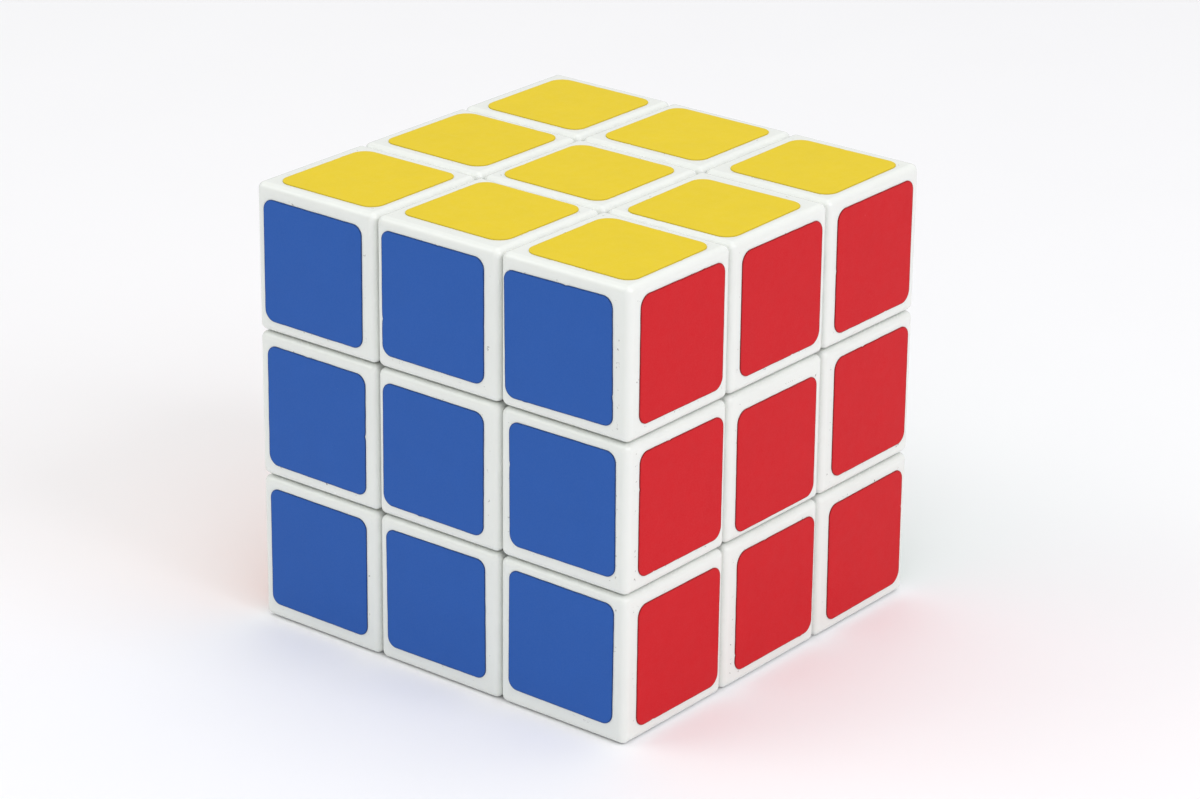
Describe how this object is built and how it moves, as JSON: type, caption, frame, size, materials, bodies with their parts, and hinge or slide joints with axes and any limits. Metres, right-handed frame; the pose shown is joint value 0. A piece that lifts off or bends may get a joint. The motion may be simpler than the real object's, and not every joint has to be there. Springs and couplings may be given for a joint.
{
  "type": "twisty puzzle cube",
  "caption": "Cube of turning layers in white plastic with a coloured vinyl label on each outer square; each face turns about a sprung screw in a six-armed core.",
  "frame": {"origin": "middle of the core, which is the middle of the cube", "axes": "+Z out of the yellow face, -Y out of the blue face, +X out of the red face; the cube rests on its -Z face"},
  "size_m": [0.057, 0.057, 0.057],
  "materials": {
    "shell_plastic": "gloss moulded ABS, white",
    "inner_plastic": "as-moulded ABS, white, satin",
    "steel": "zinc-plated steel",
    "spring_steel": "drawn spring steel",
    "label_yellow": "satin vinyl",
    "label_blue": "satin vinyl",
    "label_red": "satin vinyl",
    "label_orange": "satin vinyl",
    "label_green": "satin vinyl",
    "label_black": "satin vinyl"
  },
  "bodies": {
    "core": {"core": "inner_plastic", "core_screws": "steel", "tension_springs": "spring_steel", "spring_washers": "steel"},
    "centre_u": {"centre_u_base": "inner_plastic", "centre_u_cap": "shell_plastic"},
    "centre_d": {"centre_d_base": "inner_plastic", "centre_d_cap": "shell_plastic"},
    "centre_f": {"centre_f_base": "inner_plastic", "centre_f_cap": "shell_plastic"},
    "centre_b": {"centre_b_base": "inner_plastic", "centre_b_cap": "shell_plastic"},
    "centre_l": {"centre_l_base": "inner_plastic", "centre_l_cap": "shell_plastic"},
    "centre_r": {"centre_r_base": "inner_plastic", "centre_r_cap": "shell_plastic"},
    "edge_fl": {"edge_fl_shell": "shell_plastic", "edge_fl_foot": "inner_plastic"},
    "edge_dl": {"edge_dl_shell": "shell_plastic", "edge_dl_foot": "inner_plastic"},
    "edge_ul": {"edge_ul_shell": "shell_plastic", "edge_ul_foot": "inner_plastic"},
    "edge_bl": {"edge_bl_shell": "shell_plastic", "edge_bl_foot": "inner_plastic"},
    "edge_df": {"edge_df_shell": "shell_plastic", "edge_df_foot": "inner_plastic"},
    "edge_uf": {"edge_uf_shell": "shell_plastic", "edge_uf_foot": "inner_plastic"},
    "edge_db": {"edge_db_shell": "shell_plastic", "edge_db_foot": "inner_plastic"},
    "edge_ub": {"edge_ub_shell": "shell_plastic", "edge_ub_foot": "inner_plastic"},
    "edge_fr": {"edge_fr_shell": "shell_plastic", "edge_fr_foot": "inner_plastic"},
    "edge_dr": {"edge_dr_shell": "shell_plastic", "edge_dr_foot": "inner_plastic"},
    "edge_ur": {"edge_ur_shell": "shell_plastic", "edge_ur_foot": "inner_plastic"},
    "edge_br": {"edge_br_shell": "shell_plastic", "edge_br_foot": "inner_plastic"},
    "corner_dfl": {"corner_dfl_shell": "shell_plastic", "corner_dfl_foot": "inner_plastic"},
    "corner_ufl": {"corner_ufl_shell": "shell_plastic", "corner_ufl_foot": "inner_plastic"},
    "corner_dbl": {"corner_dbl_shell": "shell_plastic", "corner_dbl_foot": "inner_plastic"},
    "corner_ubl": {"corner_ubl_shell": "shell_plastic", "corner_ubl_foot": "inner_plastic"},
    "corner_dfr": {"corner_dfr_shell": "shell_plastic", "corner_dfr_foot": "inner_plastic"},
    "corner_ufr": {"corner_ufr_shell": "shell_plastic", "corner_ufr_foot": "inner_plastic"},
    "corner_dbr": {"corner_dbr_shell": "shell_plastic", "corner_dbr_foot": "inner_plastic"},
    "corner_ubr": {"corner_ubr_shell": "shell_plastic", "corner_ubr_foot": "inner_plastic"}
  },
  "joints": [
    {"name": "turn_u", "type": "hinge", "parent": "core", "child": "centre_u", "pos_m": [0, 0, 0], "axis": [0, 0, 1], "continuous": true},
    {"name": "turn_d", "type": "hinge", "parent": "core", "child": "centre_d", "pos_m": [0, 0, 0], "axis": [0, 0, -1], "continuous": true},
    {"name": "turn_f", "type": "hinge", "parent": "core", "child": "centre_f", "pos_m": [0, 0, 0], "axis": [0, -1, 0], "continuous": true},
    {"name": "turn_b", "type": "hinge", "parent": "core", "child": "centre_b", "pos_m": [0, 0, 0], "axis": [0, 1, 0], "continuous": true},
    {"name": "turn_l", "type": "hinge", "parent": "core", "child": "centre_l", "pos_m": [0, 0, 0], "axis": [-1, 0, 0], "continuous": true},
    {"name": "turn_r", "type": "hinge", "parent": "core", "child": "centre_r", "pos_m": [0, 0, 0], "axis": [1, 0, 0], "continuous": true},
    {"name": "edge_fl_turn", "type": "hinge", "parent": "centre_l", "child": "edge_fl", "pos_m": [0, 0, 0], "axis": [0, -1, 0], "continuous": true},
    {"name": "edge_dl_turn", "type": "hinge", "parent": "centre_d", "child": "edge_dl", "pos_m": [0, 0, 0], "axis": [-1, 0, 0], "continuous": true},
    {"name": "edge_ul_turn", "type": "hinge", "parent": "centre_u", "child": "edge_ul", "pos_m": [0, 0, 0], "axis": [-1, 0, 0], "continuous": true},
    {"name": "edge_bl_turn", "type": "hinge", "parent": "centre_l", "child": "edge_bl", "pos_m": [0, 0, 0], "axis": [0, 1, 0], "continuous": true},
    {"name": "edge_df_turn", "type": "hinge", "parent": "centre_f", "child": "edge_df", "pos_m": [0, 0, 0], "axis": [0, 0, -1], "continuous": true},
    {"name": "edge_uf_turn", "type": "hinge", "parent": "centre_f", "child": "edge_uf", "pos_m": [0, 0, 0], "axis": [0, 0, 1], "continuous": true},
    {"name": "edge_db_turn", "type": "hinge", "parent": "centre_b", "child": "edge_db", "pos_m": [0, 0, 0], "axis": [0, 0, -1], "continuous": true},
    {"name": "edge_ub_turn", "type": "hinge", "parent": "centre_b", "child": "edge_ub", "pos_m": [0, 0, 0], "axis": [0, 0, 1], "continuous": true},
    {"name": "edge_fr_turn", "type": "hinge", "parent": "centre_r", "child": "edge_fr", "pos_m": [0, 0, 0], "axis": [0, -1, 0], "continuous": true},
    {"name": "edge_dr_turn", "type": "hinge", "parent": "centre_d", "child": "edge_dr", "pos_m": [0, 0, 0], "axis": [1, 0, 0], "continuous": true},
    {"name": "edge_ur_turn", "type": "hinge", "parent": "centre_u", "child": "edge_ur", "pos_m": [0, 0, 0], "axis": [1, 0, 0], "continuous": true},
    {"name": "edge_br_turn", "type": "hinge", "parent": "centre_r", "child": "edge_br", "pos_m": [0, 0, 0], "axis": [0, 1, 0], "continuous": true},
    {"name": "corner_dfl_turn", "type": "hinge", "parent": "edge_fl", "child": "corner_dfl", "pos_m": [0, 0, 0], "axis": [0, 0, -1], "continuous": true},
    {"name": "corner_ufl_turn", "type": "hinge", "parent": "edge_fl", "child": "corner_ufl", "pos_m": [0, 0, 0], "axis": [0, 0, 1], "continuous": true},
    {"name": "corner_dbl_turn", "type": "hinge", "parent": "edge_bl", "child": "corner_dbl", "pos_m": [0, 0, 0], "axis": [0, 0, -1], "continuous": true},
    {"name": "corner_ubl_turn", "type": "hinge", "parent": "edge_bl", "child": "corner_ubl", "pos_m": [0, 0, 0], "axis": [0, 0, 1], "continuous": true},
    {"name": "corner_dfr_turn", "type": "hinge", "parent": "edge_fr", "child": "corner_dfr", "pos_m": [0, 0, 0], "axis": [0, 0, -1], "continuous": true},
    {"name": "corner_ufr_turn", "type": "hinge", "parent": "edge_fr", "child": "corner_ufr", "pos_m": [0, 0, 0], "axis": [0, 0, 1], "continuous": true},
    {"name": "corner_dbr_turn", "type": "hinge", "parent": "edge_br", "child": "corner_dbr", "pos_m": [0, 0, 0], "axis": [0, 0, -1], "continuous": true},
    {"name": "corner_ubr_turn", "type": "hinge", "parent": "edge_br", "child": "corner_ubr", "pos_m": [0, 0, 0], "axis": [0, 0, 1], "continuous": true}
  ],
  "couplings": [
    {"joint": "edge_fl_turn", "follows": "turn_f", "ratio": 1},
    {"joint": "edge_dl_turn", "follows": "turn_l", "ratio": 1},
    {"joint": "edge_ul_turn", "follows": "turn_l", "ratio": 1},
    {"joint": "edge_bl_turn", "follows": "turn_b", "ratio": 1},
    {"joint": "edge_df_turn", "follows": "turn_d", "ratio": 1},
    {"joint": "edge_uf_turn", "follows": "turn_u", "ratio": 1},
    {"joint": "edge_db_turn", "follows": "turn_d", "ratio": 1},
    {"joint": "edge_ub_turn", "follows": "turn_u", "ratio": 1},
    {"joint": "edge_fr_turn", "follows": "turn_f", "ratio": 1},
    {"joint": "edge_dr_turn", "follows": "turn_r", "ratio": 1},
    {"joint": "edge_ur_turn", "follows": "turn_r", "ratio": 1},
    {"joint": "edge_br_turn", "follows": "turn_b", "ratio": 1},
    {"joint": "corner_dfl_turn", "follows": "turn_d", "ratio": 1},
    {"joint": "corner_ufl_turn", "follows": "turn_u", "ratio": 1},
    {"joint": "corner_dbl_turn", "follows": "turn_d", "ratio": 1},
    {"joint": "corner_ubl_turn", "follows": "turn_u", "ratio": 1},
    {"joint": "corner_dfr_turn", "follows": "turn_d", "ratio": 1},
    {"joint": "corner_ufr_turn", "follows": "turn_u", "ratio": 1},
    {"joint": "corner_dbr_turn", "follows": "turn_d", "ratio": 1},
    {"joint": "corner_ubr_turn", "follows": "turn_u", "ratio": 1}
  ]
}
